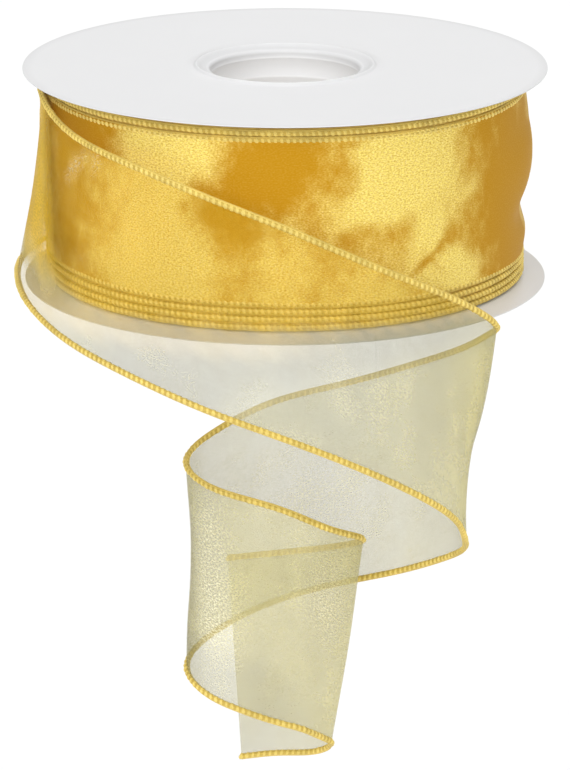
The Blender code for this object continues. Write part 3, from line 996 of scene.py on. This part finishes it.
class RIBBONSPOOL_OT_flanges(Operator):
    """Mould the two flanges with their lips and collars"""
    bl_idname = "ribbonspool.flanges"
    bl_label = "Flanges"

    def execute(self, context):
        size = context.scene.spool_sizes
        for name, face_z, inward in (("lower_flange", 0.0, 1), ("upper_flange", SPOOL_H, -1)):
            bore, lip, rim = size.bore_radius, size.lip_radius, size.rim_rounding
            collar_r = bore + size.collar_wall
            dish = ((1.22, 0.0), (1.14, -0.14), (1.06, -0.38), (0.98, -0.46), (0.90, -0.36),
                    (0.78, -0.10), (0.62, 0.14), (0.46, 0.27), (0.34, 0.33))
            outline = [(bore + lip * 1.22 * share, depth * MM) for share, depth in dish]
            outline += arc((bore + 0.87 * MM, 1.07 * MM), 0.72 * MM, 270, 180, 7)
            outline += [(bore + 0.13 * MM, 1.5 * MM), (bore, 1.75 * MM), (bore, 2.0 * MM)]
            outline += [(bore + 0.12 * MM, 2.2 * MM), (bore + 0.12 * MM, 5.2 * MM)]
            # tone for each point: painted shade on the dish and the lip, then painted light, rising, down
            # the inside of the collar
            tone = [1.0, 0.95, 0.98, 1.03, 0.97, 0.92, 0.90, 0.90, 0.92]
            tone += [0.97] * 8 + [1.0, 1.12, 1.12, 1.16, 1.18] + [1.22] * 7
            outline += [(bore, 5.45 * MM), (bore, 5.75 * MM), (bore + 0.12 * MM, 6.0 * MM)]
            outline += arc((bore + rim, size.collar_length - rim), rim, 180, 90, 3)
            outline += arc((collar_r - rim, size.collar_length - rim), rim, 90, 0, 3)
            outline += arc((collar_r + 0.6 * MM, FLANGE_T + 0.6 * MM), 0.6 * MM, 180, 270, 4)
            outline += [(r, FLANGE_T) for r in np.linspace(collar_r + 4 * MM, TURN_R - 1 * MM, 6)]
            edge = size.rim_thickness
            outer = FLANGE_R - RIM_SHORT
            round_r = edge * 0.4
            # painted shade: a darker line round the rim
            tone += [1.0] * (len(outline) - len(tone)) + [0.93] * 10
            outline += arc((outer - round_r, edge - round_r), round_r, 90, 0, 4)
            outline += arc((outer - round_r, round_r), round_r, 0, -90, 4)
            outline += [(r, 0.0) for r in np.linspace(outer - 2 * MM, bore + 1.5 * lip + 2 * MM, 6)]
            tone += [1.0] * (len(outline) - len(tone))
            places = [(r, face_z + inward * z) for r, z in outline]
            flange = turned(name + "_moulding", places, size.facets, flange_finish(), tone)
            settle(flange, "spool", "flange_plastic", name)
        return {"FINISHED"}


class RIBBONSPOOL_OT_core(Operator):
    """Make the paper core tube and finish the tape that starts the ribbon"""
    bl_idname = "ribbonspool.core"
    bl_label = "Core and Tape"

    def execute(self, context):
        inner = CORE_R - CORE_WALL
        rim = 0.3 * MM
        outline = arc((inner + rim, CORE_LOW + rim), rim, 270, 180, 3)
        outline += arc((inner + rim, CORE_HIGH - rim), rim, 180, 90, 3)
        outline += arc((CORE_R - rim, CORE_HIGH - rim), rim, 90, 0, 3)
        outline += arc((CORE_R - rim, CORE_LOW + rim), rim, 0, -90, 3)
        tube = turned("core_paper_tube", outline, context.scene.spool_sizes.facets // 2, paper_finish())
        settle(tube, "spool", "core_paper", "core_tube")
        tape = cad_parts["starting_tape"]
        tape.data.materials.clear()
        tape.data.materials.append(tape_finish())
        return {"FINISHED"}


class RIBBONSPOOL_OT_roll(Operator):
    """Wind the ribbon: the inner turns and the gleaming outer turn"""
    bl_idname = "ribbonspool.roll"
    bl_label = "Wound Ribbon"

    def execute(self, context):
        inside = CORE_R + 0.8 * MM
        neck = TURN_R - 0.75 * MM
        low, high = CORE_LOW, CORE_HIGH
        first, last = LOWER_ROWS[-1], UPPER_ROWS[-1]
        body = TURN_R - 0.9 * MM
        outline = [(inside, low), (neck, low), (neck, first), (body, first + 2 * MM)]
        outline += [(body, last - 2 * MM), (neck, last), (neck, high), (inside, high)]
        turns = turned("inner_turns", outline, context.scene.spool_sizes.facets, inner_satin_finish())
        settle(turns, "spool", "wound_sheer", "wound_ribbon")

        steps, strips = 480, 44
        bearings = np.linspace(0, 360, steps, endpoint=False)
        s = np.linspace(0, 1, strips + 1)
        thickness = context.scene.ribbon_cloth.thickness
        loops, gleam = [], []
        for bearing in bearings:
            sway = row_sway(bearing)
            height = first + sway + (last - first - sway) * s
            hold = share(np.sin(math.pi * s) * 2.2)
            radius = TURN_R - 0.15 * MM + hold * (0.25 * MM + roll_lift(bearing, height / MM))
            shine = roll_gleam(bearing, height / MM)
            x, y = polar(bearing, 1.0)
            outer = np.stack([radius * x, radius * y, height], 1)
            inner = np.stack([(radius - thickness) * x, (radius - thickness) * y, height], 1)
            loops.append(np.concatenate([outer, inner[::-1]]))
            gleam.append(np.concatenate([shine, shine[::-1]]))
        along = np.linspace(0, math.tau * TURN_R, steps + 1)
        across = np.concatenate([s, s[::-1], s[:1]]) * (last - first)
        web = skin("outer_turn_web", loops, satin_finish(), cyclic=True, marks={"gleam": gleam},
                   uv=(along, across))
        settle(web, "spool", "wound_sheer", "outer_turn")
        return {"FINISHED"}


class RIBBONSPOOL_OT_roll_edges(Operator):
    """Sew the wired edges of the wound turns, stepping up from the lower flange and down from the upper"""
    bl_idname = "ribbonspool.roll_edges"
    bl_label = "Roll Edges"

    def execute(self, context):
        bearings = np.arange(0, 360, 2.0)
        radius = TURN_R - 0.55 * MM
        across = np.stack([np.cos(np.radians(bearings)), np.sin(np.radians(bearings)), 0 * bearings], 1)
        groups = (("lower", LOWER_ROWS, 1.0, 0.0), ("upper", UPPER_ROWS, 0.0, -UPPER_ROWS_LIFT))
        for name, rows, weight, drop in groups:
            lines = []
            for i, height in enumerate(rows):
                share = weight * i / max(1, len(rows) - 1)
                wobble = 0.12 * MM * np.sin(np.radians(bearings * (3 + i)) + 1.7 * i)
                z = height + share * row_sway(bearings) + (wobble if i else 0) + drop
                lines.append(across * radius + z[:, None] * np.array([0, 0, 1.0]))
            side = 1.0 if name == "lower" else -1.0
            rows_piece = stitched(f"{name}_edge_rows", lines, [across] * len(rows), side, cyclic=True)
            nodes = [f"{name}_edge_turn_{i + 1}" for i in range(len(rows))]
            settle(rows_piece, "spool", "edge_thread", *nodes)
        return {"FINISHED"}


class RIBBONSPOOL_OT_loose_web(Operator):
    """Hang the loose sheer cloth: the tail round the front, and the curl past the bend"""
    bl_idname = "ribbonspool.loose_web"
    bl_label = "Loose Cloth"

    def execute(self, context):
        ribbon = LooseRibbon()
        tail = web_piece("tail_sheer", ribbon, 0, ribbon.split)
        settle(tail, "tail", "loose_sheer", "tail_web")
        curl = web_piece("curl_sheer", ribbon, ribbon.split, ribbon.length)
        bend_with_curl(curl, "loose_sheer", "curl_web")
        return {"FINISHED"}


class RIBBONSPOOL_OT_loose_edges(Operator):
    """Sew the wired edges of the loose ribbon"""
    bl_idname = "ribbonspool.loose_edges"
    bl_label = "Loose Edges"

    def execute(self, context):
        ribbon = LooseRibbon()
        lengths = (("tail", 0, ribbon.split), ("curl", ribbon.split, ribbon.length))
        for name, start, end in lengths:
            stations = [ribbon.station(t) for t in ribbon.stations(start, end, 0.6 * MM)]
            through = np.array([station[2] for station in stations])
            for which, side in ((0, "upper"), (1, "lower")):
                line = np.array([station[which] for station in stations])
                edge = stitched(f"{name}_{side}_edge", [line], [through], 2.0 * which - 1.0)
                node = f"{name}_{side}_binding"
                if name == "tail":
                    settle(edge, "tail", "edge_thread", node)
                else:
                    bend_with_curl(edge, "edge_thread", node)
        return {"FINISHED"}


class RIBBONSPOOL_OT_wires(Operator):
    """Finish the soft wires that run inside the edges and show at the cut end"""
    bl_idname = "ribbonspool.wires"
    bl_label = "Wires"

    def execute(self, context):
        for length in ("tail", "curl"):
            for side in ("upper", "lower"):
                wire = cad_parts[f"{length}_{side}_wire"]
                wire.data.materials.clear()
                wire.data.materials.append(wire_finish())
        return {"FINISHED"}


BUILD_ORDER = (
    RIBBONSPOOL_OT_stage,
    RIBBONSPOOL_OT_flanges,
    RIBBONSPOOL_OT_core,
    RIBBONSPOOL_OT_roll,
    RIBBONSPOOL_OT_roll_edges,
    RIBBONSPOOL_OT_loose_web,
    RIBBONSPOOL_OT_loose_edges,
    RIBBONSPOOL_OT_wires,
)
SETTINGS = {
    "spool_sizes": SpoolSizes,
    "ribbon_cloth": ClothSizes,
    "ribbon_stitching": StitchSizes,
    "ribbon_colours": RibbonColours,
}


class RIBBONSPOOL_PT_build(Panel):
    """Sizes, colours and build steps of the ribbon spool"""
    bl_idname = "RIBBONSPOOL_PT_build"
    bl_label = "Ribbon Spool"
    bl_space_type = "VIEW_3D"
    bl_region_type = "UI"
    bl_category = "Ribbon"

    def draw(self, context):
        for name, group in SETTINGS.items():
            box = self.layout.box()
            box.label(text=group.__doc__)
            for key in group.__annotations__:
                box.prop(getattr(context.scene, name), key)
        for operator in BUILD_ORDER:
            self.layout.operator(operator.bl_idname)


def register():
    for name, group in SETTINGS.items():
        bpy.utils.register_class(group)
        setattr(bpy.types.Scene, name, PointerProperty(type=group))
    for operator in BUILD_ORDER:
        bpy.utils.register_class(operator)
    bpy.utils.register_class(RIBBONSPOOL_PT_build)


def unregister():
    bpy.utils.unregister_class(RIBBONSPOOL_PT_build)
    for operator in reversed(BUILD_ORDER):
        bpy.utils.unregister_class(operator)
    for name, group in SETTINGS.items():
        delattr(bpy.types.Scene, name)
        bpy.utils.unregister_class(group)


def main():
    register()
    for operator in BUILD_ORDER:
        group, step = operator.bl_idname.split(".")
        getattr(getattr(bpy.ops, group), step)()


if __name__ == "__main__":
    main()
